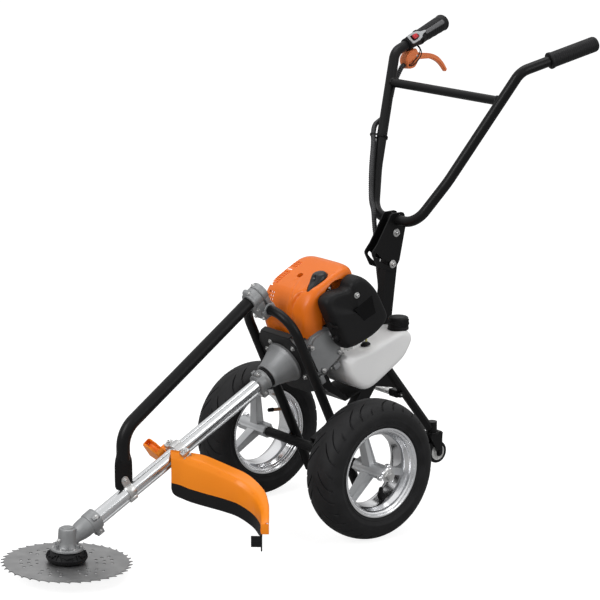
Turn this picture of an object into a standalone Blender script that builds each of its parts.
# Two-wheeled walk-behind brush cutter: engine, drive shaft, toothed blade, guard and folding handlebar.
# Metres. +X is the operator's left, -Y points forward to the blade, +Z is up, the floor is z = 0.

import bpy
import bmesh
import math
from mathutils import Matrix, Vector

# Clearances
GAP = 0.0003                 # between pieces that touch
RUN = 0.0004                 # radial clearance of a turning shaft or pin

# Wheels
WHEEL_R = 0.1435             # outer radius of the tyre
TYRE_W = 0.090               # section width of the tyre
RIM_R = 0.0925               # radius of the rim flanges
RIM_W = 0.078                # width over the rim flanges
RIM_WALL = 0.0030
SEAT_R = 0.0855              # bead seat of the rim
WELL_R = 0.0765              # drop centre of the rim
WHEEL_X = 0.1854             # wheel centre plane from the mid-plane
HUB_R = 0.0165
HUB_IN = 0.0370              # hub end inboard of the wheel's centre plane
HUB_OUT = 0.0585             # hub end outboard of it
SPOKES = 3
SPOKE_TURN = {"left": math.radians(-14), "right": math.radians(27)}    # where each wheel has come to rest
SPOKE_HALF = (0.0095, 0.0065)           # half-width of a spoke at the hub and at the rim
SPOKE_DEPTH = ((-0.0100, 0.0150), (-0.0080, 0.0125))    # its extent along the axle, at the hub and at the rim
WHEEL_STEPS = 26
AXLE_R = 0.0060
AXLE_TUBE_R = 0.0105
NUT_R = 0.0095
NUT_H = 0.0080

# Frame tubes and plates
HOOP_R = 0.0100              # radius of the upright hoop's tube
HOOP_HALF = 0.0784           # its legs from the mid-plane
HOOP_LEAN = math.radians(24.7)
HOOP_TOP = 0.346             # top bar above the axle, along the leaning legs
HOOP_FOOT = 0.080            # legs below the axle
HOOP_BEND = 0.055
TUBE_WALL = 0.0015
SHEET = 0.0030               # plate thickness of the frame
BRACE_R = 0.0135
BRACE_SLOPE = math.radians(34.5)
BRACE_RISE = 0.0380           # brace above the hoop's top bar, square to the brace
BRACE_RUN = 0.4070            # its straight part, from the clamp to the bend
POST_W = 0.0200              # rectangular post, across
POST_D = 0.0300              # and fore and aft
STRUT_R = 0.0095

# Drive line
SHAFT_TILT = math.radians(27.02)
SHAFT_O = (0.0, -0.1000, 0.3249)   # reference point on the shaft's axis, in front of the engine
SHAFT_R = 0.0130
SHAFT_WALL = 0.0015
DRIVE_R = 0.0040
ROD_R = 0.0040               # thin tie rod under the shaft
CONE_BACK = 0.0345           # back of the clutch housing, along the shaft from the reference point
CONE_FRONT = -0.0200
CONE_BACK_R = 0.0450
CONE_FRONT_R = 0.0255
COLLAR_LEN = 0.0230
HEAD_S = -0.5657             # where the blade spindle crosses the shaft's axis
NECK_END = -0.4880           # rear end of the gear head's neck

# Blade
BLADE_R = 0.1275
BLADE_T = 0.0018
TEETH = 40
BLADE_TILT = math.radians(-2.6)
BORE_R = 0.0127
CUP_H = 0.0120               # support cup under the blade
CUP_R = 0.0300
NUT_DROP = 0.0268            # blade's mid-plane above the foot of the spindle nut
FOOT_R = 0.0110

# Handlebar
PIVOT = (0.0, 0.2120, 0.5720)
U_BACK = 0.0060              # bottom bar of the handlebar from the pivot, backwards
U_UP = 0.0260                # and upwards
LOCK_R = 0.0660              # lock bolt from the pivot
FOLD = math.radians(44)      # travel of the handlebar
BAR_R = 0.0110
BAR_LEAN = math.radians(27.7)
CROSS_R = 0.0095
GRIP_R = 0.0155
BOLT_R = 0.0040

# Caster
CASTER_R = 0.0245
CASTER_W = 0.0160
CASTER_Z = 0.0700
CASTER_Y = 0.3420
STEM_Y = 0.3300              # upright swivel axis, ahead of the wheel

# Throttle loom
LOOM_R = 0.0055
LOOM_BORE = 0.0032
RIBS = 72


# Scene

for old in list(bpy.data.objects):
    bpy.data.objects.remove(old, do_unlink=True)

parts = bpy.data.collections.new("walk_behind_brush_cutter")
bpy.context.scene.collection.children.link(parts)
cutters = bpy.data.collections.new("cutters")
bpy.context.scene.collection.children.link(cutters)


def material(name, colour, roughness, metallic=0.0):
    mat = bpy.data.materials.new(name)
    mat.use_nodes = True
    shader = mat.node_tree.nodes["Principled BSDF"]
    shader.inputs["Base Color"].default_value = (*colour, 1.0)
    shader.inputs["Roughness"].default_value = roughness
    shader.inputs["Metallic"].default_value = metallic
    mat.diffuse_color = (*colour, 1.0)
    return mat


BLACK = material("black_powder_coat", (0.012, 0.012, 0.013), 0.38)
RUBBER = material("tyre_rubber", (0.018, 0.018, 0.019), 0.75)
SILVER = material("polished_aluminium", (0.72, 0.73, 0.74), 0.22, 1.0)
CAST = material("cast_aluminium", (0.42, 0.43, 0.44), 0.48, 0.85)
STEEL = material("zinc_steel", (0.62, 0.62, 0.63), 0.30, 1.0)
BLADE_STEEL = material("blade_steel", (0.36, 0.36, 0.37), 0.34, 1.0)
ORANGE = material("orange_plastic", (0.88, 0.22, 0.02), 0.32)
SHELL_BLACK = material("black_plastic", (0.022, 0.022, 0.024), 0.42)
WHITE = material("white_tank_plastic", (0.80, 0.80, 0.79), 0.35)
RED = material("red_plastic", (0.65, 0.03, 0.04), 0.35)


def empty(name, parent=None, location=(0, 0, 0), rotation=(0, 0, 0)):
    frame = bpy.data.objects.new(name, None)
    parts.objects.link(frame)
    frame.parent = parent
    frame.location = location
    frame.rotation_euler = rotation
    return frame


def place(obj, mat, parent, location=(0, 0, 0), rotation=(0, 0, 0), smooth=35):
    obj.parent = parent
    obj.location = location
    obj.rotation_euler = rotation
    obj.data.materials.clear()
    obj.data.materials.append(mat)
    if obj.type == "MESH":
        obj.data.shade_smooth()
        if smooth:
            obj.data.set_sharp_from_angle(angle=math.radians(smooth))
    return obj


def mesh_object(name, bm, mat, parent, location=(0, 0, 0), rotation=(0, 0, 0), smooth=35):
    bmesh.ops.recalc_face_normals(bm, faces=bm.faces)
    mesh = bpy.data.meshes.new(name)
    bm.to_mesh(mesh)
    bm.free()
    obj = bpy.data.objects.new(name, mesh)
    parts.objects.link(obj)
    return place(obj, mat, parent, location, rotation, smooth)


def box(name, size, mat, parent, location=(0, 0, 0), rotation=(0, 0, 0), bevel=0.0, segments=1):
    bm = bmesh.new()
    bmesh.ops.create_cube(bm, size=1.0, matrix=Matrix.Diagonal((*size, 1.0)))
    obj = mesh_object(name, bm, mat, parent, location, rotation)
    if bevel:
        add_bevel(obj, bevel, segments)
    return obj


def cylinder(name, radius, depth, mat, parent, location=(0, 0, 0), rotation=(0, 0, 0), sides=24, top=None):
    bm = bmesh.new()
    bmesh.ops.create_cone(bm, cap_ends=True, segments=sides, radius1=radius,
                          radius2=radius if top is None else top, depth=depth)
    return mesh_object(name, bm, mat, parent, location, rotation)


def turned(name, profile, mat, parent, location=(0, 0, 0), rotation=(0, 0, 0), steps=32, closed=False):
    """A profile of (radius, height) points, top to bottom down its outer side, turned about local Z."""
    bm = bmesh.new()
    ring = [bm.verts.new((r, 0.0, z)) for r, z in profile]
    for a, b in zip(ring, ring[1:]):
        bm.edges.new((a, b))
    if closed:
        bm.edges.new((ring[-1], ring[0]))
    mesh = bpy.data.meshes.new(name)
    bm.to_mesh(mesh)
    bm.free()
    obj = bpy.data.objects.new(name, mesh)
    parts.objects.link(obj)
    obj.parent = parent
    obj.location = location
    obj.rotation_euler = rotation
    obj.data.materials.append(mat)
    screw = obj.modifiers.new("turn", "SCREW")
    screw.axis = "Z"
    screw.steps = steps
    screw.render_steps = steps
    screw.use_merge_vertices = True
    screw.merge_threshold = 0.00001
    screw.use_smooth_shade = True
    return obj


def curve_object(name, splines, mat, parent, location=(0, 0, 0), rotation=(0, 0, 0), flat=False):
    curve = bpy.data.curves.new(name, "CURVE")
    curve.dimensions = "2D" if flat else "3D"
    for points in splines:
        spline = curve.splines.new("POLY")
        spline.points.add(len(points) - 1)
        for point, co in zip(spline.points, points):
            point.co = (*co, 0.0, 1.0) if flat else (*co, 1.0)
        spline.use_cyclic_u = flat
    obj = bpy.data.objects.new(name, curve)
    parts.objects.link(obj)
    curve.materials.append(mat)
    obj.parent = parent
    obj.location = location
    obj.rotation_euler = rotation
    return obj


def plate(name, outline, thickness, mat, parent, location=(0, 0, 0), rotation=(0, 0, 0), holes=()):
    """A flat sheet: its outline and holes as closed lines in local XY, thickness about local Z."""
    obj = curve_object(name, [outline, *holes], mat, parent, location, rotation, flat=True)
    obj.data.fill_mode = "BOTH"
    obj.data.extrude = thickness / 2
    return obj


def tube(name, points, radius, mat, parent, location=(0, 0, 0), rotation=(0, 0, 0), fine=4, wall=0.0):
    """A round bar along the points, or an open pipe when it has a wall."""
    obj = curve_object(name, [points], mat, parent, location, rotation)
    obj.data.bevel_depth = radius
    obj.data.bevel_resolution = fine
    obj.data.use_fill_caps = not wall
    obj.data.twist_mode = "MINIMUM"
    if wall:
        shell = obj.modifiers.new("wall", "SOLIDIFY")
        shell.thickness = wall
        shell.offset = -1.0
    return obj


def to_mesh(obj):
    """The curve's own mesh with its caps welded on, in its place."""
    graph = bpy.context.evaluated_depsgraph_get()
    graph.update()
    mesh = bpy.data.meshes.new_from_object(obj.evaluated_get(graph), depsgraph=graph)
    bm = bmesh.new()
    bm.from_mesh(mesh)
    bmesh.ops.remove_doubles(bm, verts=bm.verts, dist=0.00001)
    bmesh.ops.recalc_face_normals(bm, faces=bm.faces)
    bm.to_mesh(mesh)
    bm.free()
    name, old_data = obj.name, obj.data
    parent, location, rotation = obj.parent, obj.location.copy(), obj.rotation_euler.copy()
    bpy.data.objects.remove(obj, do_unlink=True)
    if isinstance(old_data, bpy.types.Curve):
        bpy.data.curves.remove(old_data)
    new = bpy.data.objects.new(name, mesh)
    new.data.name = name
    parts.objects.link(new)
    new.parent = parent
    new.location = location
    new.rotation_euler = rotation
    new.data.shade_smooth()
    new.data.set_sharp_from_angle(angle=math.radians(35))
    return new


def boolean(obj, other, operation="DIFFERENCE"):
    mod = obj.modifiers.new(operation.lower() + "_" + other.name, "BOOLEAN")
    mod.operation = operation
    mod.solver = "EXACT"
    mod.object = other
    if other.name in parts.objects:
        parts.objects.unlink(other)
        cutters.objects.link(other)
    other.hide_render = True
    other.display_type = "WIRE"
    return obj


def cut(obj, *others):
    for other in others:
        boolean(obj, other, "DIFFERENCE")
    return obj


def join(obj, *others):
    for other in others:
        boolean(obj, other, "UNION")
    return obj


def add_bevel(obj, width, segments=1, angle=40):
    bevel = obj.modifiers.new("edges", "BEVEL")
    bevel.width = width
    bevel.segments = segments
    bevel.limit_method = "ANGLE"
    bevel.angle_limit = math.radians(angle)
    return bevel


def loft(name, rings, mat, parent, location=(0, 0, 0), rotation=(0, 0, 0), caps=(True, True), smooth=40):
    """Skin through rings of equally many points, for bodies between unlike sections."""
    bm = bmesh.new()
    loops = [[bm.verts.new(p) for p in ring] for ring in rings]
    for low, high in zip(loops, loops[1:]):
        n = len(low)
        for i in range(n):
            bm.faces.new((low[i], low[(i + 1) % n], high[(i + 1) % n], high[i]))
    if caps[0]:
        bm.faces.new(loops[0][::-1])
    if caps[1]:
        bm.faces.new(loops[-1])
    return mesh_object(name, bm, mat, parent, location, rotation, smooth)


# Lines and outlines

def arc(centre, radius, start, end, count):
    """Points on an arc in a plane, angles in radians."""
    return [(centre[0] + radius * math.cos(start + (end - start) * i / count),
             centre[1] + radius * math.sin(start + (end - start) * i / count)) for i in range(count + 1)]


def circle(centre, radius, count):
    return arc(centre, radius, 0.0, 2 * math.pi, count)[:-1]


def bent(corners, radii, steps=5):
    """A line through corners, with an arc of the given radius at each inner one."""
    points = [Vector(corners[0])]
    for i in range(1, len(corners) - 1):
        here = Vector(corners[i])
        back = (Vector(corners[i - 1]) - here).normalized()
        ahead = (Vector(corners[i + 1]) - here).normalized()
        radius = radii[i - 1] if isinstance(radii, (list, tuple)) else radii
        half = back.angle(ahead) / 2
        reach = radius / math.tan(half)
        centre = here + (back + ahead).normalized() * (radius / math.sin(half))
        first = here + back * reach - centre
        last = here + ahead * reach - centre
        sweep = first.angle(last)
        for k in range(steps + 1):
            t = k / steps
            points.append(centre + first * (math.sin((1 - t) * sweep) / math.sin(sweep))
                          + last * (math.sin(t * sweep) / math.sin(sweep)))
    points.append(Vector(corners[-1]))
    return points


def rounded(half_x, half_y, power, count, centre=(0.0, 0.0)):
    """A rounded rectangle as a superellipse."""
    ring = []
    for i in range(count):
        a = 2 * math.pi * (i + 0.5) / count
        c, s = math.cos(a), math.sin(a)
        ring.append((centre[0] + half_x * math.copysign(abs(c) ** (2 / power), c),
                     centre[1] + half_y * math.copysign(abs(s) ** (2 / power), s)))
    return ring


def fillet(outline, radius, steps=3):
    """The outline with each corner rounded."""
    n = len(outline)
    result = []
    for i in range(n):
        a, b, c = (Vector((*outline[(i + k) % n], 0.0)) for k in (-1, 0, 1))
        back, ahead = (a - b), (c - b)
        half = back.angle(ahead) / 2
        r = min(radius, 0.45 * min(back.length, ahead.length) * math.tan(half))
        reach = r / math.tan(half)
        back.normalize()
        ahead.normalize()
        centre = b + (back + ahead).normalized() * (r / math.sin(half))
        first, last = b + back * reach - centre, b + ahead * reach - centre
        sweep = first.angle(last)
        for k in range(steps + 1):
            t = k / steps
            p = centre + first * (math.sin((1 - t) * sweep) / math.sin(sweep)) \
                + last * (math.sin(t * sweep) / math.sin(sweep))
            result.append((p.x, p.y))
    return result


HALF_PI = math.pi / 2
ALONG_X = (0.0, HALF_PI, 0.0)       # local Z turned to +X
TO_Y = (-HALF_PI, 0.0, 0.0)         # local Z turned to +Y
SIDE_ON = (HALF_PI, 0.0, HALF_PI)   # local XY turned to the YZ plane, local Z to +X

root = empty("brush_cutter")

# Road wheels

AXLE_Z = WHEEL_R
FLANGE_T = 0.0025


def rim_profile():
    outer = [(RIM_R, RIM_W / 2), (RIM_R, RIM_W / 2 - FLANGE_T), (SEAT_R, RIM_W / 2 - 0.0040),
             (WELL_R, 0.0180)]
    inner = [(WELL_R - RIM_WALL, 0.0190), (SEAT_R - RIM_WALL, RIM_W / 2 - 0.0045),
             (RIM_R - RIM_WALL - 0.0010, RIM_W / 2)]
    down = outer + [(r, -z) for r, z in reversed(outer)]
    up = [(r, -z) for r, z in reversed(inner)] + inner
    return down + up


def tyre_profile():
    half = TYRE_W / 2
    bead = RIM_W / 2 - 0.0043
    skin = [(SEAT_R + 0.0005, bead), (RIM_R + 0.0008, RIM_W / 2 - 0.0028), (0.1000, half - 0.0025),
            (0.1150, half), (0.1310, half - 0.0050), (WHEEL_R - 0.0040, 0.0250), (WHEEL_R, 0.0)]
    core = [(SEAT_R + 0.0005, bead - 0.0090), (0.1200, half - 0.0085), (WHEEL_R - 0.0090, 0.0)]
    down = skin + [(r, -z) for r, z in reversed(skin[:-1])]
    up = [(r, -z) for r, z in core[:-1]] + [core[-1]] + [(r, z) for r, z in reversed(core[:-1])]
    return down + up


def wheel(side, sign):
    """One road wheel; local Z is its axle, pointing outboard."""
    frame = empty("wheel_axis_" + side, root, (sign * WHEEL_X, 0.0, AXLE_Z), (0.0, sign * HALF_PI, 0.0))
    turned("tyre_" + side, tyre_profile(), RUBBER, frame, steps=WHEEL_STEPS, closed=True)
    rim = turned("rim_" + side, rim_profile(), SILVER, frame, steps=WHEEL_STEPS, closed=True)
    hub_len = HUB_IN + HUB_OUT
    hub = cylinder("hub_" + side, HUB_R, hub_len, SILVER, frame, (0, 0, hub_len / 2 - HUB_IN), sides=16)
    pieces = [hub]
    for k in range(SPOKES):
        turn = 2 * math.pi * k / SPOKES + HALF_PI + SPOKE_TURN[side]
        ends = []
        for r, half, (low, high) in zip((HUB_R * 0.6, WELL_R - RIM_WALL / 2), SPOKE_HALF, SPOKE_DEPTH):
            ends.append([(r, -half, low), (r, half, low), (r, half, high), (r, -half, high)])
        pieces.append(loft("spoke_%s_%d" % (side, k), ends, SILVER, frame, rotation=(0, 0, turn)))
        lobe = turn - sign * math.radians(32)
        pieces.append(cylinder("lobe_%s_%d" % (side, k), 0.0058, 0.0070, SILVER, frame,
                               (HUB_R * math.cos(lobe), HUB_R * math.sin(lobe), HUB_OUT - 0.0050), sides=8))
    join(rim, *pieces)
    cut(rim, cylinder("hub_bore_" + side, AXLE_R + RUN, hub_len + 0.02, SILVER, frame,
                      (0, 0, hub_len / 2 - HUB_IN), sides=16))
    return frame


left_wheel = wheel("left", 1)
right_wheel = wheel("right", -1)

# the axle bolt with a nut on each end, and the tube that it runs through between the hubs
NUT_X = WHEEL_X + HUB_OUT + GAP
axle = cylinder("axle_rod", AXLE_R, 2 * (NUT_X + NUT_H) + 0.004, STEEL, root, (0, 0, AXLE_Z), ALONG_X, sides=20)
for sign in (-1, 1):
    join(axle, cylinder("axle_nut_%d" % sign, NUT_R, NUT_H, STEEL, root,
                        (sign * (NUT_X + NUT_H / 2), 0, AXLE_Z), ALONG_X, sides=6))
TUBE_HALF = WHEEL_X - HUB_IN - GAP
turned("axle_tube", [(AXLE_TUBE_R, TUBE_HALF), (AXLE_TUBE_R, -TUBE_HALF), (AXLE_R + GAP, -TUBE_HALF),
                     (AXLE_R + GAP, TUBE_HALF)], BLACK, root, (0, 0, AXLE_Z), ALONG_X, steps=20, closed=True)

# Upright hoop of the frame

HOOP_Y = (AXLE_TUBE_R + HOOP_R + GAP) / math.cos(HOOP_LEAN)
hoop_frame = empty("hoop_plane", root, (0.0, HOOP_Y, AXLE_Z), (HOOP_LEAN, 0.0, 0.0))
hoop_line = bent([(-HOOP_HALF, 0, -HOOP_FOOT), (-HOOP_HALF, 0, HOOP_TOP), (HOOP_HALF, 0, HOOP_TOP),
                  (HOOP_HALF, 0, -HOOP_FOOT)], HOOP_BEND, 5)
tube("frame_hoop", hoop_line, HOOP_R, BLACK, hoop_frame, fine=3, wall=TUBE_WALL)


def on_hoop(height):
    """World place on the hoop's plane, mid-way between the legs."""
    return Vector((0.0, HOOP_Y - height * math.sin(HOOP_LEAN), AXLE_Z + height * math.cos(HOOP_LEAN)))


# Drive line: its local Y runs up the shaft

line = empty("drive_line", root, SHAFT_O, (SHAFT_TILT, 0.0, 0.0))
line_matrix = Matrix.Translation(SHAFT_O) @ Matrix.Rotation(SHAFT_TILT, 4, "X")


def to_line(point):
    return line_matrix.inverted() @ Vector(point)


PLATE_S = CONE_BACK + GAP + SHEET / 2
PLATE_HALF = HOOP_HALF - HOOP_R - GAP
plate_outline = [(-PLATE_HALF, -0.060), (-0.030, -0.074), (0.030, -0.074), (PLATE_HALF, -0.060),
                 (PLATE_HALF, 0.036), (0.046, 0.066), (-0.046, 0.066), (-PLATE_HALF, 0.036)]
engine_plate = to_mesh(plate("engine_plate", fillet(plate_outline, 0.006, 2), SHEET, BLACK, line,
                             (0, PLATE_S, 0), (HALF_PI, 0, 0), holes=[circle((0, 0), 0.0370, 24)]))
flange = box("plate_flange", (0.092, 0.013, SHEET), BLACK, line, (0, PLATE_S + 0.0065, 0.0655))
join(engine_plate, flange)

# clutch housing: a cone that is open at the back, with the tube's bore in front
turned("clutch_housing", [
    (DRIVE_R + 0.0060, CONE_BACK - 0.0300), (CONE_FRONT_R - 0.0120, CONE_BACK - 0.0420),
    (CONE_FRONT_R - 0.0025, CONE_FRONT + 0.0030), (CONE_FRONT_R - 0.0020, CONE_FRONT),
    (CONE_FRONT_R, CONE_FRONT), (CONE_FRONT_R + 0.0005, CONE_FRONT + 0.0030),
    (CONE_BACK_R - 0.0030, CONE_BACK - 0.0100), (CONE_BACK_R, CONE_BACK - 0.0060), (CONE_BACK_R, CONE_BACK),
    (CONE_BACK_R - 0.0080, CONE_BACK), (CONE_BACK_R - 0.0085, CONE_BACK - 0.0120),
    (DRIVE_R + 0.0220, CONE_BACK - 0.0260)][::-1], CAST, line, rotation=TO_Y, steps=24, closed=True)

RING_R = CONE_FRONT_R - 0.0020 - GAP
turned("damper_ring", [(RING_R - 0.0030, CONE_FRONT - 0.0060), (RING_R - 0.0010, CONE_FRONT - 0.0040),
                       (RING_R - 0.0010, CONE_FRONT + 0.0028), (DRIVE_R + RUN, CONE_FRONT + 0.0028),
                       (DRIVE_R + RUN, CONE_FRONT - 0.0060)][::-1], SHELL_BLACK, line, rotation=TO_Y, steps=20,
       closed=True)

COLLAR_BACK = CONE_FRONT - 0.0060 - GAP
COLLAR_FRONT = COLLAR_BACK - COLLAR_LEN
collar = turned("shaft_collar", [
    (DRIVE_R + 0.0010, COLLAR_FRONT), (SHAFT_R + 0.0055, COLLAR_FRONT), (SHAFT_R + 0.0065, COLLAR_FRONT + 0.0020),
    (SHAFT_R + 0.0070, COLLAR_BACK - 0.0080), (SHAFT_R + 0.0095, COLLAR_BACK - 0.0050),
    (SHAFT_R + 0.0095, COLLAR_BACK), (DRIVE_R + 0.0010, COLLAR_BACK)][::-1], CAST, line, rotation=TO_Y, steps=20, closed=True)
ROD_N = -(SHAFT_R + GAP + ROD_R)
join(collar, box("collar_ear", (0.013, 0.014, 0.024), CAST, line, (0, COLLAR_FRONT + 0.0085, -0.0240), bevel=0.003),
     box("collar_lug", (0.016, 0.010, 0.010), CAST, line, (0, COLLAR_FRONT + 0.0080, 0.0215), bevel=0.0015))
cut(collar, box("collar_slot", (0.0016, 0.030, 0.016), CAST, line, (0, COLLAR_FRONT + 0.0080, 0.0250)),
    cylinder("collar_rod_hole", ROD_R + GAP, 0.012, CAST, line, (0, COLLAR_FRONT + 0.0040, ROD_N), TO_Y, sides=12),
    cylinder("collar_tube_hole", SHAFT_R + GAP, 0.0400, CAST, line, (0, COLLAR_BACK - 0.0025 - 0.0200, 0), TO_Y,
             sides=20))

SHAFT_FRONT = NECK_END - 0.0320
SHAFT_BACK = COLLAR_BACK - 0.0025 - GAP
turned("shaft_tube", [(SHAFT_R, SHAFT_BACK), (SHAFT_R, SHAFT_FRONT), (SHAFT_R - SHAFT_WALL, SHAFT_FRONT),
                      (SHAFT_R - SHAFT_WALL, SHAFT_BACK)], SILVER, line, rotation=TO_Y, steps=24, closed=True)

ROD_BACK = COLLAR_FRONT + 0.0095
ROD_FRONT = NECK_END - 0.0080
rod_len = ROD_BACK - ROD_FRONT
cylinder("tie_rod", ROD_R, rod_len, SILVER, line, (0, (ROD_BACK + ROD_FRONT) / 2, ROD_N), TO_Y, sides=16)

# drive shaft with its clutch drum, a cup open to the engine
DRUM_BACK = CONE_BACK - 0.0010
turned("drive_shaft", [
    (0.0, SHAFT_FRONT - 0.0180), (DRIVE_R, SHAFT_FRONT - 0.0180), (DRIVE_R, CONE_BACK - 0.0230),
    (0.0200, CONE_BACK - 0.0230), (0.0330, CONE_BACK - 0.0100), (0.0335, DRUM_BACK), (0.0315, DRUM_BACK),
    (0.0310, CONE_BACK - 0.0090), (0.0180, CONE_BACK - 0.0200), (0.0, CONE_BACK - 0.0200)][::-1],
    STEEL, line, rotation=TO_Y, steps=18)

# Gear head and the turning parts of the blade

HEAD_POINT = line_matrix @ Vector((0.0, HEAD_S, 0.0))
BLADE_Z = NUT_DROP * math.cos(BLADE_TILT) + FOOT_R * abs(math.sin(BLADE_TILT))
BLADE_Y = HEAD_POINT.y + (HEAD_POINT.z - BLADE_Z) * math.tan(BLADE_TILT)
head = empty("spindle_axis", root, (0.0, BLADE_Y, BLADE_Z), (BLADE_TILT, 0.0, 0.0))
head_matrix = Matrix.Translation((0.0, BLADE_Y, BLADE_Z)) @ Matrix.Rotation(BLADE_TILT, 4, "X")

FLANGE_Z = 0.0255            # underside of the gear head above the blade's mid-plane
HEAD_TOP = 0.0710
gear_head = turned("gear_head", [
    (0.0, HEAD_TOP), (0.0120, HEAD_TOP), (0.0160, HEAD_TOP - 0.0022), (0.0172, HEAD_TOP - 0.0060),
    (0.0180, FLANGE_Z + 0.0100), (0.0200, FLANGE_Z + 0.0058), (0.0300, FLANGE_Z + 0.0050),
    (0.0315, FLANGE_Z + 0.0035), (0.0315, FLANGE_Z), (0.0, FLANGE_Z)], CAST, head, steps=20)
neck = turned("gear_neck", [
    (0.0, HEAD_S + 0.0060), (0.0150, HEAD_S + 0.0060), (0.0155, HEAD_S + 0.0240), (0.0190, HEAD_S + 0.0350),
    (0.0195, NECK_END - 0.0240), (0.0210, NECK_END - 0.0235), (0.0215, NECK_END), (0.0, NECK_END)][::-1],
    CAST, line, rotation=TO_Y, steps=20)
join(gear_head, neck,
     box("neck_ear", (0.014, 0.016, 0.020), CAST, line, (0, NECK_END - 0.0080, -0.0250), bevel=0.004),
     cylinder("grease_plug", 0.0042, 0.008, CAST, head, (0, -0.0190, 0.0450), (HALF_PI, 0, 0), sides=12))
cut(gear_head,
    cylinder("neck_socket", SHAFT_R + GAP, 0.036, CAST, line, (0, NECK_END - 0.0143, 0), TO_Y, sides=20),
    cylinder("drive_socket", DRIVE_R + RUN, 0.030, CAST, line, (0, NECK_END - 0.0430, 0), TO_Y, sides=16),
    cylinder("rod_socket", ROD_R + GAP, 0.020, CAST, line, (0, NECK_END, ROD_N), TO_Y, sides=12),
    cylinder("spindle_socket", 0.0070 + RUN, 0.030, CAST, head, (0, 0, FLANGE_Z), sides=16))

SPINDLE_TOP = FLANGE_Z + 0.0145
NUT_TOP = -(CUP_H + 0.0006)
turned("blade_spindle", [(0.0, SPINDLE_TOP), (0.0070, SPINDLE_TOP), (0.0070, 0.0050), (0.0050, 0.0050),
                         (0.0050, -NUT_DROP + 0.0030), (0.0, -NUT_DROP + 0.0030)], STEEL, head, steps=16)

# ribbed cup between gear head and blade
cup_profile = [(0.0300, FLANGE_Z - 0.0010), (0.0355, FLANGE_Z - 0.0060), (0.0405, 0.0130), (0.0405, 0.0100),
               (0.0370, 0.0042), (0.0280, 0.0012), (0.0070 + GAP, 0.0012), (0.0070 + GAP, 0.0052),
               (0.0200, 0.0060), (0.0200, FLANGE_Z - 0.0010)]
collar_cup = turned("upper_collar", cup_profile, SHELL_BLACK, head, steps=20, closed=True)

# blade: hooked teeth round the rim and clusters of holes in arcs


def blade_outline():
    points = []
    pitch = 2 * math.pi / TEETH
    for k in range(TEETH):
        a = k * pitch
        for turn, radius in ((0.00, BLADE_R - 0.0072), (0.42, BLADE_R - 0.0045), (0.68, BLADE_R),
                             (0.66, BLADE_R - 0.0068)):
            points.append((radius * math.cos(a + turn * pitch), radius * math.sin(a + turn * pitch)))
    return points


def blade_holes():
    holes = [circle((0.0, 0.0), BORE_R, 16)]
    for cluster in range(6):
        middle = 2 * math.pi * cluster / 6
        for row, (radius, count, spread, size) in enumerate(((0.0580, 2, 0.36, 0.0034), (0.0730, 3, 0.27, 0.0036),
                                                            (0.0880, 3, 0.24, 0.0038))):
            for i in range(count):
                a = middle + spread * (i - (count - 1) / 2) + 0.05 * row
                holes.append(circle((radius * math.cos(a), radius * math.sin(a)), size, 6))
    return holes


plate("blade", blade_outline(), BLADE_T, BLADE_STEEL, head, holes=blade_holes())

turned("support_cup", [(0.0050 + GAP, -BLADE_T / 2 - GAP), (0.0290, -BLADE_T / 2 - GAP), (CUP_R, -0.0040),
                       (CUP_R - 0.0040, -CUP_H + 0.0020), (CUP_R - 0.0080, -CUP_H), (0.0150, -CUP_H),
                       (0.0140, -0.0070), (0.0050 + GAP, -0.0070)], STEEL, head, steps=20, closed=True)
turned("blade_nut", [(0.0062, -0.0076), (0.0110, -0.0076), (0.0110, -0.0180), (FOOT_R, -NUT_DROP + 0.0010),
                     (FOOT_R - 0.0008, -NUT_DROP), (0.0062, -NUT_DROP)], STEEL, head, steps=6, closed=True)

# Brace pipe and its clamps

HOOP_BAR = on_hoop(HOOP_TOP)
clamp_frame = empty("clamp_frame", root, HOOP_BAR, (BRACE_SLOPE, 0.0, 0.0))
clamp_matrix = Matrix.Translation(HOOP_BAR) @ Matrix.Rotation(BRACE_SLOPE, 4, "X")
SLEEVE_FRONT = -0.0160
BRACE_END = 0.0100                  # inside the sleeve
brace_top = clamp_matrix @ Vector((0.0, BRACE_END, BRACE_RISE))
brace_bend = clamp_matrix @ Vector((0.0, BRACE_END - BRACE_RUN, BRACE_RISE))
RING_S = -0.4020
ring_point = line_matrix @ Vector((0.0, RING_S, 0.0))
FLAT_W = 0.0400              # flattened lower end of the pipe, fore and aft
FLAT_T = 0.0055
FLAT_TOP = 0.2080
brace_foot = Vector((0.0, brace_bend.y, FLAT_TOP))
brace = to_mesh(tube("brace_pipe", bent([brace_top, brace_bend, brace_foot], 0.060, 4), BRACE_R, BLACK, root, fine=4))


def band(line_yz, depth):
    """Outline of a bar of even depth along a bent line."""
    pts = [Vector((y, z, 0.0)) for y, z in line_yz]
    left, right = [], []
    for i, p in enumerate(pts):
        before = (p - pts[i - 1]).normalized() if i else (pts[1] - p).normalized()
        after = (pts[i + 1] - p).normalized() if i < len(pts) - 1 else before
        mean = (before + after).normalized()
        side = Vector((-mean.y, mean.x, 0.0)) * (depth / 2 / max(0.3, mean.dot(after)))
        left.append((p.x + side.x, p.y + side.y))
        right.append((p.x - side.x, p.y - side.y))
    return left + right[::-1]


def side_plate(name, outline, width, mat, parent, x=0.0, holes=()):
    """An outline in the YZ plane, given its width about x."""
    return plate(name, outline, width, mat, parent, (x, 0, 0), SIDE_ON, holes)


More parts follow.
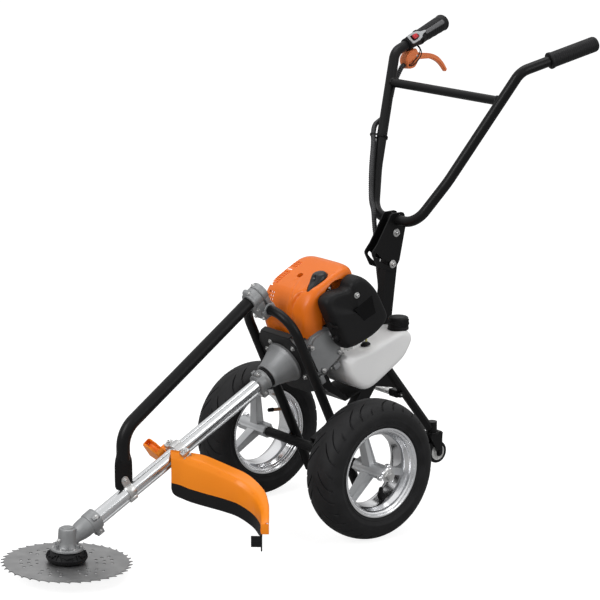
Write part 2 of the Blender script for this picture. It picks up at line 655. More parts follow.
FLAT_LOW = ring_point.z
join(brace, loft("brace_flattening", [
    [(x, y, z) for x, y in rounded(a, b, p, 16, (0.0, brace_foot.y))]
    for z, a, b, p in ((FLAT_LOW, FLAT_T / 2, FLAT_W / 2, 6.0), (FLAT_TOP - 0.0150, FLAT_T / 2, FLAT_W / 2, 6.0),
                       (FLAT_TOP + 0.0150, BRACE_R - 0.0004, BRACE_R - 0.0004, 2.0))], BLACK, root))
BOLT_N = 0.0270
cut(brace, cylinder("ring_clearance", SHAFT_R + 0.0040 + GAP, 0.1200, BLACK, line, (0, RING_S, 0), TO_Y, sides=20),
    cylinder("brace_bolt_hole", 0.0030 + RUN, 0.0300, BLACK, line, (0, RING_S, BOLT_N), ALONG_X, sides=12))

SPLIT = GAP / 2
CLAMP_W = 0.0360
front_half = box("clamp_front_half", (CLAMP_W, 0.0160 - SPLIT, 0.0640), CAST, clamp_frame,
                 (0, -0.0080 - SPLIT / 2, 0.0185), bevel=0.004)
rear_half = box("clamp_rear_half", (CLAMP_W, 0.0160 - SPLIT, 0.0640), CAST, clamp_frame,
                (0, 0.0080 + SPLIT / 2, 0.0185), bevel=0.004)
SLEEVE_R = BRACE_R + 0.0060
for half, lo, hi in ((front_half, SLEEVE_FRONT - 0.0080, -SPLIT), (rear_half, SPLIT, 0.0140)):
    join(half, cylinder("sleeve_of_" + half.name, SLEEVE_R, hi - lo, CAST, clamp_frame,
                        (0, (hi + lo) / 2, BRACE_RISE), TO_Y, sides=20))
join(front_half, box("clamp_lug", (0.012, 0.012, 0.014), CAST, clamp_frame,
                     (0, SLEEVE_FRONT - 0.0010, BRACE_RISE + SLEEVE_R + 0.0030), bevel=0.002))
brace_hole = cylinder("brace_hole", BRACE_R + GAP, 0.060, CAST, clamp_frame,
                      (0, BRACE_END + GAP - 0.030, BRACE_RISE), TO_Y, sides=20)
bar_hole = cylinder("bar_hole", HOOP_R + GAP, 0.060, CAST, clamp_frame, (0, 0, 0), ALONG_X, sides=16)
cut(front_half, brace_hole, bar_hole)
cut(rear_half, brace_hole, bar_hole)

ring = cylinder("brace_ring_clamp", SHAFT_R + 0.0040, 0.0170, STEEL, line, (0, RING_S, 0), TO_Y, sides=20)
for side in (-1, 1):
    join(ring, box("ring_ear_%d" % side, (0.0030, 0.0170, 0.0260), STEEL, line,
                   (side * (FLAT_T / 2 + GAP + 0.0015), RING_S, 0.0220)))
join(ring, cylinder("brace_bolt", 0.0030, 0.0240, STEEL, line, (0, RING_S, BOLT_N), ALONG_X, sides=12))
cut(ring, cylinder("ring_bore", SHAFT_R + GAP, 0.030, STEEL, line, (0, RING_S, 0), TO_Y, sides=20),
    cylinder("ring_rod_bore", ROD_R + GAP, 0.030, STEEL, line, (0, RING_S, ROD_N), TO_Y, sides=12))

# Guard: a wall that faces the blade, with a flange behind its top edge, swept out to the left

GUARD_WALL = 0.0026
GUARD_S = -0.2700            # its clamp along the shaft
GUARD_ROLL = math.radians(9)
PLATFORM_N = -0.0250
GUARD_LINE = [(0.0170, -0.3690, 0.1450), (0.0250, -0.3530, 0.1390), (0.0370, -0.3380, 0.1310),
              (0.0580, -0.3150, 0.1220), (0.0810, -0.2880, 0.1120), (0.1060, -0.2690, 0.1030),
              (0.1470, -0.2640, 0.0920), (0.1850, -0.2760, 0.0850), (0.2100, -0.2920, 0.0805),
              (0.2200, -0.3000, 0.0790)]
GUARD_RISE = [0.0620, 0.0630, 0.0610, 0.0590, 0.0530, 0.0480, 0.0430, 0.0390, 0.0320, 0.0200]
GUARD_FLANGE = [0.0030, 0.0080, 0.0230, 0.0320, 0.0320, 0.0280, 0.0210, 0.0140, 0.0120, 0.0120]
guard_points = [Vector(p) for p in GUARD_LINE]


def spread(values, t):
    """Value at a share t of a list, from one entry to the next."""
    at = t * (len(values) - 1)
    i = min(int(at), len(values) - 2)
    return values[i] + (values[i + 1] - values[i]) * (at - i)


def guard_place(t):
    """Foot of the wall and the level direction behind it at a share t of the sweep."""
    here = spread(guard_points, t)
    step = spread(guard_points, min(1.0, t + 0.06)) - spread(guard_points, max(0.0, t - 0.06))
    return here, Vector((-step.y, step.x, 0.0)).normalized()


def guard_ring(t):
    foot, behind = guard_place(t)
    rise, width = spread(GUARD_RISE, t), spread(GUARD_FLANGE, t)
    up = Vector((0.0, 0.0, 1.0))
    return [foot, foot + up * rise * 0.5 - behind * 0.0015, foot + up * (rise - 0.004),
            foot + up * rise + behind * 0.0035, foot + up * (rise + 0.25 * width) + behind * width]


def open_sheet(name, rows, thickness, mat, parent):
    bm = bmesh.new()
    grid = [[bm.verts.new(p) for p in row] for row in rows]
    for a, b in zip(grid, grid[1:]):
        for i in range(len(a) - 1):
            bm.faces.new((a[i], a[i + 1], b[i + 1], b[i]))
    obj = mesh_object(name, bm, mat, parent)
    shell = obj.modifiers.new("wall", "SOLIDIFY")
    shell.thickness = thickness
    shell.offset = 0.0
    return obj


SWEEP = 14
guard = open_sheet("guard_shell", [guard_ring(i / SWEEP) for i in range(SWEEP + 1)], GUARD_WALL, ORANGE, root)
end_foot, end_back = guard_place(1.0)
end_strip = box("guard_end", (0.0150, GUARD_WALL, 0.0220), ORANGE, root,
                end_foot + end_back * 0.0065 + Vector((0, 0, 0.0110)),
                (0, 0, math.atan2(end_back.y, end_back.x)))
guard_frame = empty("guard_clamp", line, (0, GUARD_S, 0), (0, GUARD_ROLL, 0))
platform = to_mesh(plate("guard_platform", [(-0.0710, -0.0120), (0.0437, -0.0120), (0.0585, 0.0050), (0.0500, 0.0220),
                                            (-0.0710, 0.0220)], 0.0050, ORANGE, guard_frame,
                         (0, 0, PLATFORM_N - 0.0027), (0, 0, 0)))
ear = box("guard_ear", (0.0420, 0.0180, 0.0480), ORANGE, guard_frame, (-0.0520, -0.0200, PLATFORM_N + 0.0160),
          (math.radians(10), 0, 0), bevel=0.003)
join(guard, end_strip, platform, ear)

bracket = box("guard_bracket", (0.0600, 0.0220, 0.0240), STEEL, guard_frame, (0, 0, 0), bevel=0.002)
join(bracket, box("bracket_foot", (0.0300, 0.0200, 0.0180), STEEL, guard_frame, (0, 0, PLATFORM_N + 0.0090 + GAP)))
cut(guard, box("clamp_notch", (0.0612, 0.0232, 0.0300), ORANGE, guard_frame, (0, 0, 0.0020)))
cut(bracket, cylinder("bracket_bore", SHAFT_R + GAP, 0.060, STEEL, guard_frame, (0, 0, 0), TO_Y, sides=24),
    cylinder("bracket_rod_bore", ROD_R + GAP, 0.060, STEEL, line, (0, GUARD_S, ROD_N), TO_Y, sides=12))


def skirt_row(t):
    foot, behind = guard_place(t)
    top = foot - Vector((0.0, 0.0, GAP))
    depth = 0.0265 * (1.0 if t < 0.75 else 1.0 - 0.7 * (t - 0.75) / 0.25)
    if t < 0.08:
        depth *= 0.55 + 0.45 * t / 0.08
    return [top, top - Vector((0.0, 0.0, depth)) - behind * 0.001]


skirt = open_sheet("guard_skirt", [skirt_row(i / SWEEP) for i in range(SWEEP + 1)], GUARD_WALL - 0.0002, SHELL_BLACK, root)

# line cutter: a small plate under the guard's outer end
cutter_foot, cutter_back = guard_place(0.97)
cutter = box("line_cutter", (0.0220, 0.0018, 0.0230), SHELL_BLACK, root,
             cutter_foot - cutter_back * 0.0105 + Vector((0, 0, -0.0170)),
             (0, 0, math.atan2(cutter_back.y, cutter_back.x)))
join(skirt, cutter)

# Engine: along the drive line

CASE_FRONT = PLATE_S + SHEET / 2 + GAP
CASE_BACK = 0.1080
CASE_HALF = 0.0540
CASE_TOP = 0.0480
crankcase = loft("crankcase", [
    [(x, s, n) for x, n in rounded(a, b, 3.2, 20, (0.0, c))]
    for s, a, b, c in ((CASE_FRONT, CASE_HALF - 0.004, 0.050, -0.006), (CASE_FRONT + 0.006, CASE_HALF, 0.054, -0.006),
                       (0.0900, CASE_HALF, 0.054, -0.006), (CASE_BACK, 0.050, 0.048, 0.0))], CAST, line)

CYL_X = -0.0060
CYL_W = 0.0700
CYL_S = (0.0980, 0.1580)
CYL_TOP = 0.0980
cylinder_block = box("cylinder", (CYL_W, CYL_S[1] - CYL_S[0], CYL_TOP - CASE_TOP - GAP), CAST, line,
                     (CYL_X, sum(CYL_S) / 2, (CYL_TOP + CASE_TOP + GAP) / 2), bevel=0.004)

# bottom to top: height, extent across, extent along, squareness of the section
SHROUD = [(0.0400, -0.074, 0.060, 0.054, 0.222, 5.0), (0.0650, -0.079, 0.066, 0.059, 0.228, 5.5),
          (0.0900, -0.080, 0.067, 0.073, 0.230, 6.0), (0.1120, -0.079, 0.065, 0.090, 0.230, 6.0),
          (0.1225, -0.076, 0.058, 0.103, 0.222, 5.5), (0.1285, -0.064, 0.040, 0.118, 0.204, 4.5)]
SHROUD_WALL = 0.0028


def shroud_ring(height, x0, x1, s0, s1, power, inset=0.0):
    return [(x, s, height) for x, s in rounded((x1 - x0) / 2 - inset, (s1 - s0) / 2 - inset, power, 24,
                                               ((x0 + x1) / 2, (s0 + s1) / 2))]


shroud = loft("engine_shroud", [shroud_ring(*ring) for ring in SHROUD], ORANGE, line)

FILTER_X = 0.0720            # back of the filter cover
RECESS_X = 0.0500            # wall of the shroud behind it
FILTER_OUT = 0.1100
filter_outline = fillet([(0.116, 0.118), (0.150, 0.119), (0.162, 0.125), (0.200, 0.126), (0.228, 0.084),
                         (0.235, -0.014), (0.128, -0.014), (0.112, 0.006)], 0.012, 3)
filter_mid = Vector((0.172, 0.056))


def filter_ring(x, share):
    return [(x, filter_mid.x + (s - filter_mid.x) * share, filter_mid.y + (n - filter_mid.y) * share)
            for s, n in filter_outline]


filter_cover = loft("filter_cover", [filter_ring(FILTER_X, 0.96), filter_ring(FILTER_X + 0.004, 0.99),
                                     filter_ring(0.0960, 1.0), filter_ring(0.1050, 0.965),
                                     filter_ring(FILTER_OUT, 0.88)], SHELL_BLACK, line)
BULB_R = 0.0075
BULB = (0.0900, 0.0225)      # across and above the shaft's axis
cut(filter_cover, cylinder("bulb_well", BULB_R + 0.001, 0.0180, SHELL_BLACK, line,
                           (BULB[0], 0.1180, BULB[1]), TO_Y, sides=16))
turned("primer_bulb", [(0.0, 0.1075), (0.0040, 0.1080), (BULB_R - 0.001, 0.1105), (BULB_R, 0.1140), (BULB_R, 0.1210),
                       (0.0, 0.1210)][::-1], SHELL_BLACK, line, (BULB[0], 0, BULB[1]), TO_Y, steps=16)

CHOKE = (0.0900, 0.0560)
CHOKE_S = 0.1115             # middle of its disc, just ahead of the filter cover
choke_disc = cylinder("choke_lever", 0.0070, 0.0040, SHELL_BLACK, line, (CHOKE[0], CHOKE_S, CHOKE[1]), TO_Y, sides=16)
join(choke_disc, box("choke_arm", (0.0240, 0.0030, 0.0060), SHELL_BLACK, line,
                     (CHOKE[0] + 0.0110, CHOKE_S - 0.0002, CHOKE[1]), bevel=0.001))

CARB_BACK = 0.1760
CARB_N = 0.0540
CARB_LEN = 0.0340
CARB_H = 0.0360
RECESS_S = 0.1120
hollow_rings = [shroud_ring(SHROUD[0][0] - 0.0100, *SHROUD[0][1:], SHROUD_WALL)]
hollow_rings += [shroud_ring(*ring, SHROUD_WALL) for ring in SHROUD[1:-1]]
hollow_rings += [shroud_ring(SHROUD[-1][0] - SHROUD_WALL, *SHROUD[-1][1:], SHROUD_WALL)]
hollow = loft("shroud_hollow", hollow_rings, ORANGE, line)
hollow = cut(hollow, box("recess_backing", (0.0800, 0.1400, 0.2000), ORANGE, line,
                         (RECESS_X - SHROUD_WALL + 0.0400, RECESS_S - SHROUD_WALL + 0.0700, 0.0800)))
cut(shroud, hollow,
    box("filter_recess", (0.0800, 0.1400, 0.2000), ORANGE, line, (RECESS_X + 0.0400, RECESS_S + 0.0700, 0.0800)),
    box("crankcase_notch", (2 * CASE_HALF + 0.0030, 0.0300, 0.0300), ORANGE, line, (0, 0.0600, 0.0345)),
    box("boot_opening", (0.0340, 0.0560, 0.0500), ORANGE, line, (0.0240, 0.1680, 0.1220)),
    box("exhaust_opening", (0.0400, 0.0850, 0.0700), ORANGE, line, (-0.0800, 0.1500, 0.0450)),
    box("carburettor_opening", (0.0200, CARB_LEN + 0.002, CARB_H + 0.002), ORANGE, line,
        (RECESS_X, CARB_BACK - CARB_LEN / 2, CARB_N)))

muffler = box("muffler", (0.0585, 0.0800, 0.0620), BLACK, line, (CYL_X - CYL_W / 2 - GAP - 0.0585 / 2, 0.1500, 0.0460),
              bevel=0.008, segments=2)

boot = tube("spark_plug_boot", bent([(0.0200, 0.1460, CYL_TOP + GAP), (0.0200, 0.1460, 0.1110), (0.0230, 0.1830, 0.1330)],
                                    0.010, 3), 0.0090, SHELL_BLACK, line, fine=3)

CARB_X = CYL_X + CYL_W / 2 + GAP
CARB_W = FILTER_X - GAP - CARB_X
carburettor = box("carburettor", (CARB_W, CARB_LEN, CARB_H), CAST, line,
                  (CARB_X + CARB_W / 2, CARB_BACK - CARB_LEN / 2, CARB_N), bevel=0.002)

STARTER_BACK = 0.1400
starter = loft("starter_housing", [
    [(x, s, n) for x, n in rounded(a, b, 2.6, 20, (0.0, 0.018))]
    for s, a, b in ((CASE_BACK + GAP, 0.040, 0.0290), (0.1320, 0.040, 0.0290), (STARTER_BACK, 0.034, 0.0240))],
    SHELL_BLACK, line)
# pull handle of the recoil starter, drawn out backwards and to the right
PULL_TURN = math.radians(30)
pull = empty("starter_pull", line, (-0.0240, STARTER_BACK + 0.0107, -0.0010), (0.0, 0.0, PULL_TURN))
grip = cylinder("starter_grip", 0.0050, 0.0320, SHELL_BLACK, pull, (0, 0, 0), ALONG_X, sides=14)
join(grip, cylinder("starter_grip_neck", 0.0034, 0.0080, SHELL_BLACK, pull, (0, -0.0060, 0), TO_Y, sides=12))

# Fuel tank: a saddle below the crankcase, notched for the post
TANK_HALF = 0.0840
tank_outline = fillet([(0.112, -0.034), (0.190, -0.060), (0.268, -0.074), (0.288, -0.090), (0.284, -0.108),
                       (0.264, -0.124), (0.244, -0.132), (0.132, -0.130), (0.112, -0.118), (0.090, -0.092),
                       (0.088, -0.052)], 0.010, 1)
tank_mid = Vector((0.186, -0.094))


def tank_ring(x, share_s, share_n):
    return [(x, tank_mid.x + (s - tank_mid.x) * share_s, tank_mid.y + (n - tank_mid.y) * share_n)
            for s, n in tank_outline]


tank = loft("fuel_tank", [tank_ring(-TANK_HALF, 0.90, 0.74), tank_ring(-TANK_HALF + 0.006, 0.97, 0.93),
                          tank_ring(-TANK_HALF + 0.016, 1.0, 1.0), tank_ring(TANK_HALF - 0.016, 1.0, 1.0),
                          tank_ring(TANK_HALF - 0.006, 0.97, 0.93), tank_ring(TANK_HALF, 0.90, 0.74)], WHITE, line)
CAP_AT = Vector((0.0550, 0.1840, 0.3784))
CAP_R = 0.0220
join(tank, cylinder("tank_neck", 0.0160, 0.0300, WHITE, root, (CAP_AT.x, CAP_AT.y, CAP_AT.z - GAP - 0.0150), sides=24))
turned("fuel_cap", [(0.0, 0.0270), (CAP_R - 0.0035, 0.0270), (CAP_R - 0.0010, 0.0250), (CAP_R, 0.0040), (CAP_R, 0.0),
                    (0.0, 0.0)], SHELL_BLACK, root, CAP_AT, steps=28)
GROMMET = (0.0550, 0.1900, -0.0600)
grommet = turned("tank_grommet", [(0.0, 0.0060), (0.0050, 0.0060), (0.0070, 0.0045), (0.0080, 0.0012), (0.0080, 0.0),
                                  (0.0, 0.0)], SHELL_BLACK, line, (GROMMET[0], GROMMET[1], GROMMET[2] + 0.0016),
                 (math.radians(-15), 0, 0), steps=16)
join(grommet, cylinder("fuel_line", 0.0026, 0.0410, SHELL_BLACK, line, (GROMMET[0], GROMMET[1] + 0.001, GROMMET[2] + 0.0250),
                       sides=10))

# Post, rear strut and engine cradle

POST_TOP = (PIVOT[1], PIVOT[2])
post_dir = Vector((0.1773, 0.2930)) - Vector(POST_TOP)
POST_KNEE = (0.1773, 0.2930)
POST_LOW = (0.1100, 0.2030)
low_dir = (Vector((0.0, AXLE_Z)) - Vector(POST_LOW)).normalized()
POST_FOOT = Vector((0.0, AXLE_Z)) - low_dir * (AXLE_TUBE_R + GAP)


def post_outline(grow=0.0):
    """The post's side view: a bent bar with a round head about the pivot."""
    ring = band([POST_TOP, POST_KNEE, POST_LOW, tuple(POST_FOOT)], POST_D + 2 * grow)
    down = math.atan2(post_dir.y, post_dir.x)
    head_arc = arc(POST_TOP, POST_D / 2 + grow, down - HALF_PI, down - HALF_PI - math.pi, 10)[1:-1]
    return ring + head_arc


post = side_plate("handle_post", post_outline(), POST_W, BLACK, root)
LOCK = Vector(POST_TOP) + LOCK_R * Vector((math.cos(math.radians(-98)), math.sin(math.radians(-98))))
post = to_mesh(post)
cut(post, cylinder("post_pivot_hole", BOLT_R + GAP, 0.040, BLACK, root, PIVOT, ALONG_X, sides=16),
    cylinder("post_lock_hole", BOLT_R + GAP, 0.040, BLACK, root, (0, LOCK.x, LOCK.y), ALONG_X, sides=16))
post_clear = to_mesh(side_plate("post_clearance", post_outline(GAP), POST_W + 2 * GAP, BLACK, root))

cut(tank, cylinder("cap_recess", CAP_R + 0.0015, 0.0300, WHITE, root, (CAP_AT.x, CAP_AT.y, CAP_AT.z - 2 * GAP + 0.0150), sides=28),
    box("tank_saddle", (2 * CASE_HALF + 2 * GAP, 0.0600, 0.1000), WHITE, line, (0, CASE_BACK + GAP - 0.0300, -0.0120)),
    box("tank_notch", (POST_W + 0.0080, 0.0700, 0.2600), WHITE, root,
        (0, POST_KNEE[0] + 0.0120 - POST_D / 2 - 0.0060 + 0.0350, POST_KNEE[1] + 0.0700),
        (math.atan2(-post_dir.x, -post_dir.y) * -1, 0, 0)))

STRUT_SLOPE = math.radians(51.9)
strut_dir = Vector((0.0, math.cos(STRUT_SLOPE), -math.sin(STRUT_SLOPE)))
strut_mark = Vector((0.0, 0.2130, 0.2653))
strut_top = strut_mark - strut_dir * 0.0360
SOCKET_Z = (0.1180, 0.1400)
strut_foot = strut_mark + strut_dir * ((strut_mark.z - 0.1280) / math.sin(STRUT_SLOPE))
strut = to_mesh(tube("rear_strut", [strut_top, strut_foot], STRUT_R, BLACK, root, fine=3))
gusset = to_mesh(side_plate("strut_gusset", [(0.1620, 0.2480), (0.2265, 0.2328), (0.2200, 0.2700), (0.1830, 0.2900)], 0.0040,
                            BLACK, root))
STEM_R = 0.0060
socket = cylinder("caster_socket", 0.0110, SOCKET_Z[1] - SOCKET_Z[0], BLACK, root, (0, STEM_Y, sum(SOCKET_Z) / 2), sides=20)
PIN_Y = 0.2350
PIN_Z = 0.2170
BARREL_R = 0.0070
pin_arm = box("pin_arm", (0.0260, 0.0170, 0.0160), BLACK, root, (-0.0265 + 0.0130, PIN_Y + 0.0030, PIN_Z), bevel=0.001)
pin_lug = box("pin_lug", (0.0030, 0.0140, 0.0120), BLACK, root, (0.0068, PIN_Y + 0.0035, PIN_Z))
join(strut, gusset, socket, pin_arm, pin_lug)
cut(strut, post_clear,
    cylinder("stem_bore", STEM_R + RUN, 0.060, BLACK, root, (0, STEM_Y, SOCKET_Z[0] - 0.030 + 0.0180), sides=20),
    cylinder("pin_bore", 0.0020 + RUN, 0.060, BLACK, root, (-0.0100, PIN_Y, PIN_Z), ALONG_X, sides=12))
turned("latch_pin", [(0.0, 0.0095), (0.0020, 0.0090), (0.0020, -0.0268), (BARREL_R - 0.0006, -0.0268),
                     (BARREL_R, -0.0276), (BARREL_R, -0.0742), (BARREL_R - 0.0008, -0.0750), (0.0, -0.0750)],
       STEEL, root, (0, PIN_Y, PIN_Z), ALONG_X, steps=20)

# cradle: a bent plate from the engine plate under the crankcase to the post, with two cheeks
CRADLE_W = 0.0900
cradle_path = [(PLATE_S + SHEET / 2 + GAP, -0.0640), (0.0600, -0.0660), (0.0760, -0.0980), (0.0990, -0.1390),
               (0.1500, -0.1480), (0.1960, -0.1580)]
cradle = to_mesh(side_plate("engine_cradle", band(cradle_path, 0.0040), CRADLE_W, BLACK, line))
cheek_outline = [(0.0585, -0.0610), (0.0840, -0.0610), (0.0860, -0.0900), (0.1060, -0.1340), (0.1040, -0.1420),
                 (0.0940, -0.1330), (0.0700, -0.0940)]
cheeks = [to_mesh(side_plate("cradle_cheek_%d" % s, cheek_outline, SHEET, BLACK, line, s * (CRADLE_W / 2 - SHEET / 2)))
          for s in (-1, 1)]
join(cradle, *cheeks)
cut(cradle, post_clear)

# Handlebar and its bracket

fold = empty("handlebar_pivot", root, PIVOT)
bar_frame = empty("handlebar_plane", fold, (0.0, U_BACK, U_UP), (-BAR_LEAN, 0.0, 0.0))
bar_matrix = Matrix.Translation(Vector(PIVOT) + Vector((0.0, U_BACK, U_UP))) @ Matrix.Rotation(-BAR_LEAN, 4, "X")
U_HALF = 0.0660
KNEE_HALF = 0.1120
KNEE_UP = 0.1000
CROSS_UP = 0.2880
BEND_UP = 0.3560
BEND_HALF = 0.1960
CROSS_HALF = KNEE_HALF + (BEND_HALF - KNEE_HALF) * (CROSS_UP - KNEE_UP) / (BEND_UP - KNEE_UP)
grip_end = bar_matrix.inverted() @ Vector((BEND_HALF + 0.0390, 0.5540, 0.9605))
half_bar = [Vector((U_HALF, 0, 0)), Vector((KNEE_HALF, 0, KNEE_UP)), Vector((BEND_HALF, 0, BEND_UP)), grip_end]
corners = [Vector((-p.x, p.y, p.z)) for p in reversed(half_bar)] + half_bar
bar_line = bent(corners, [0.040, 0.250, 0.055, 0.055, 0.250, 0.040], 3)
tube("handlebar", bar_line, BAR_R, BLACK, bar_frame, fine=3, wall=TUBE_WALL)
cross = cylinder("crossbar", CROSS_R, 2 * (CROSS_HALF - BAR_R * 0.6), BLACK, bar_frame, (0, 0, CROSS_UP), ALONG_X, sides=20)
cut(cross, to_mesh(tube("handlebar_clearance", bar_line, BAR_R + GAP, BLACK, bar_frame, fine=3)))

PLATE_IN = POST_W / 2 + GAP


def fan_outline():
    """Outline of a bracket plate about the pivot, in the plane of the post."""
    return [(-0.012, 0.042), (0.022, 0.042), (0.026, 0.012), (0.010, -0.060), (-0.006, -0.083), (-0.050, -0.066),
            (-0.066, -0.036), (-0.050, -0.018), (-0.022, 0.026)]


def slot_outline():
    """Curved slot round the pivot that the lock bolt runs in."""
    half = BOLT_R + RUN
    first, last = math.radians(-98), math.radians(-98) - FOLD
    outer = arc((0, 0), LOCK_R + half, first, last, 6)
    inner = arc((0, 0), LOCK_R - half, last, first, 6)
    end = Vector((math.cos(last), math.sin(last))) * LOCK_R
    start = Vector((math.cos(first), math.sin(first))) * LOCK_R
    cap_last = arc((end.x, end.y), half, last, last - math.pi, 4)[1:-1]
    cap_first = arc((start.x, start.y), half, first + math.pi, first, 4)[1:-1]
    return outer + cap_last + inner + cap_first


for side, sign in (("left", 1), ("right", -1)):
    side_plate("bracket_plate_" + side, fillet(fan_outline(), 0.008, 2), SHEET, BLACK, fold,
               sign * (PLATE_IN + SHEET / 2),
               holes=[circle((0, 0), BOLT_R + RUN, 12), circle((U_BACK, U_UP), BAR_R + GAP, 20), slot_outline()])

bolt_half = PLATE_IN + SHEET + GAP
for name, place_at in (("pivot_bolt", (0.0, PIVOT[1], PIVOT[2])), ("lock_bolt", (0.0, LOCK.x, LOCK.y))):
    turned(name, [(0.0, bolt_half + 0.0062), (0.0055, bolt_half + 0.0062), (0.0070, bolt_half + 0.0050),
                  (0.0072, bolt_half), (BOLT_R, bolt_half), (BOLT_R, -bolt_half), (0.0072, -bolt_half),
                  (0.0070, -bolt_half - 0.0060), (0.0, -bolt_half - 0.0060)], STEEL, root, place_at, ALONG_X,
           steps=14)

# Grips: each frame sits on its tube's bend, local Z towards the tube's end, local Y upwards


def grip_frame(side, sign):
    start = Vector((sign * BEND_HALF, 0.0, BEND_UP))
    end = Vector((sign * grip_end.x, grip_end.y, grip_end.z))
    along = (end - start).normalized()
    across = Vector((-1.0, 0.0, 0.0))
    across = (across - along * across.dot(along)).normalized()
    up = along.cross(across)
    turn = Matrix((across, up, along)).transposed().to_4x4()
    frame = empty("grip_axis_" + side, bar_frame, start, turn.to_euler())
    return frame, (end - start).length


left_frame, BAR_END = grip_frame("left", 1)
right_frame, BAR_END = grip_frame("right", -1)


def grip_profile(first, last, swell=0.0):
    """Grip sleeve with a closed end beyond the end of the tube."""
    bore = BAR_R + GAP
    return [(0.0, last), (GRIP_R - 0.0050, last), (GRIP_R + swell - 0.0010, last - 0.0030),
            (GRIP_R + swell + 0.0008, last - 0.0080), (GRIP_R + swell - 0.0005, last - 0.0120),
            (GRIP_R - 0.0005, first + 0.0080), (GRIP_R + 0.0020, first + 0.0050), (GRIP_R + 0.0020, first),
            (bore, first), (bore, BAR_END + GAP), (0.0, BAR_END + GAP)]


turned("grip_left", grip_profile(BAR_END - 0.1120, BAR_END + 0.0040), RUBBER, left_frame, steps=20)

GRIP_START = 0.0400          # throttle grip from the tube's bend
SWITCH_TURN = math.radians(50)     # the switch looks up and inwards
SLEEVE_START = GRIP_START + 0.0440
grip_right = turned("grip_right", grip_profile(SLEEVE_START, BAR_END + 0.0040, 0.0025)[:-3] + [(0.0, SLEEVE_START)], RUBBER,
                    right_frame, steps=20)
switch_frame = empty("switch_turn", right_frame, (0, 0, GRIP_START), (0, 0, SWITCH_TURN))
BLOCK_R = 0.0140
BLOCK_TOP = 0.0160
join(grip_right, cylinder("switch_collar", BLOCK_R, 0.0460, SHELL_BLACK, right_frame, (0, 0, GRIP_START + 0.0240), sides=24),
     box("switch_block", (0.0240, BLOCK_TOP, 0.0460), SHELL_BLACK, switch_frame, (0, BLOCK_TOP / 2, 0.0240), bevel=0.003))
cut(grip_right, cylinder("grip_right_bore", BAR_R + GAP, BAR_END + GAP - 0.0200, RUBBER, right_frame,
                         (0, 0, (BAR_END + GAP + 0.0200) / 2), sides=20))
switch_plate = box("switch_plate", (0.0220, 0.0030, 0.0420), CAST, switch_frame,
                   (0, BLOCK_TOP + GAP + 0.0015, 0.0215), bevel=0.001)
cut(switch_plate, box("switch_slot", (0.0050, 0.0200, 0.0150), CAST, switch_frame, (0, BLOCK_TOP + 0.0080, 0.0200)))
switch = box("kill_switch", (0.0100, 0.0055, 0.0130), RED, switch_frame, (0, BLOCK_TOP + 2 * GAP + 0.0030 + 0.00275, 0.0175),
             bevel=0.0015)
join(switch, box("switch_stem", (0.0040, 0.0060, 0.0070), RED, switch_frame, (0, BLOCK_TOP + 2 * GAP + 0.0030, 0.0175)))

BODY_TOP = -BLOCK_R - GAP
BODY_LOW = -0.0520
BODY_FROM = 0.0200
BODY_TO = 0.0650
LEVER_AT = (-0.0300, 0.0550)       # pivot of the throttle lever: up, along
body = side_plate("trigger_body", fillet([(BODY_TOP, GRIP_START + 0.0020), (BODY_TOP, BODY_TO - 0.0060), (-0.0240, BODY_TO),
                                          (-0.0420, BODY_TO - 0.0040), (BODY_LOW, BODY_TO - 0.0200), (-0.0480, BODY_FROM + 0.0040),
                                          (-0.0300, BODY_FROM), (-0.0200, BODY_FROM + 0.0060)], 0.004, 2),
                  0.0220, ORANGE, right_frame)
body.rotation_euler = (HALF_PI, 0.0, HALF_PI)
body = to_mesh(body)
LEVER_W = 0.0110
PIN_R = 0.0022
cut(body, box("lever_slot", (LEVER_W + 2 * RUN, 0.0300, 0.0260), ORANGE, right_frame, (0, LEVER_AT[0] - 0.0030, LEVER_AT[1] + 0.0030)))
join(body, cylinder("lever_pin", PIN_R, 0.0200, ORANGE, right_frame, (0, LEVER_AT[0], LEVER_AT[1]), ALONG_X, sides=14))

lever_frame = empty("throttle_axis", right_frame, (0, LEVER_AT[0], LEVER_AT[1]))
lever_top = [(0.0060, 0.0060), (0.0300, -0.0050), (0.0620, -0.0190), (0.0880, -0.0400), (0.1050, -0.0700)]
lever_low = [(0.0970, -0.0745), (0.0800, -0.0470), (0.0560, -0.0280), (0.0220, -0.0165), (0.0, -0.0085), (-0.0075, -0.0040),
             (-0.0060, 0.0050)]
lever_outline = fillet([(t, u) for t, u in lever_top + lever_low], 0.003, 2)
# outline given as (along, up); local XY of the plate turned to local ZY of the grip
lever = plate("throttle_lever", [(u, t) for t, u in lever_outline], LEVER_W, ORANGE, lever_frame, (0, 0, 0), SIDE_ON,
              holes=[circle((0, 0), PIN_R + RUN, 14)])

# Caster

fork_frame = empty("caster_swivel", root, (0.0, STEM_Y, SOCKET_Z[0]))
TRAIL = CASTER_Y - STEM_Y
CHEEK_X = CASTER_W / 2 + 0.0020
CROWN_Z = -GAP - 0.0030
fork = cylinder("caster_fork", STEM_R, 0.0170, STEEL, fork_frame, (0, 0, 0.0170 / 2 - 0.0010), sides=20)
join(fork, box("fork_crown", (2 * CHEEK_X + 0.0060, 0.0300, 0.0030), STEEL, fork_frame, (0, 0.0040, -GAP - 0.0015)))
drop = SOCKET_Z[0] - CASTER_Z
fork_side = fillet([(-0.0110, CROWN_Z + 0.0020), (0.0190, CROWN_Z + 0.0020), (TRAIL + 0.0080, -drop - 0.0070),
                    (TRAIL - 0.0080, -drop - 0.0070)], 0.004, 2)
for s in (-1, 1):
    join(fork, to_mesh(side_plate("fork_cheek_%d" % s, fork_side, 0.0025, STEEL, fork_frame, s * (CHEEK_X + 0.00125))))
join(fork, cylinder("caster_axle", 0.0035, 2 * CHEEK_X + 0.0120, STEEL, fork_frame, (0, TRAIL, -drop), ALONG_X, sides=16))
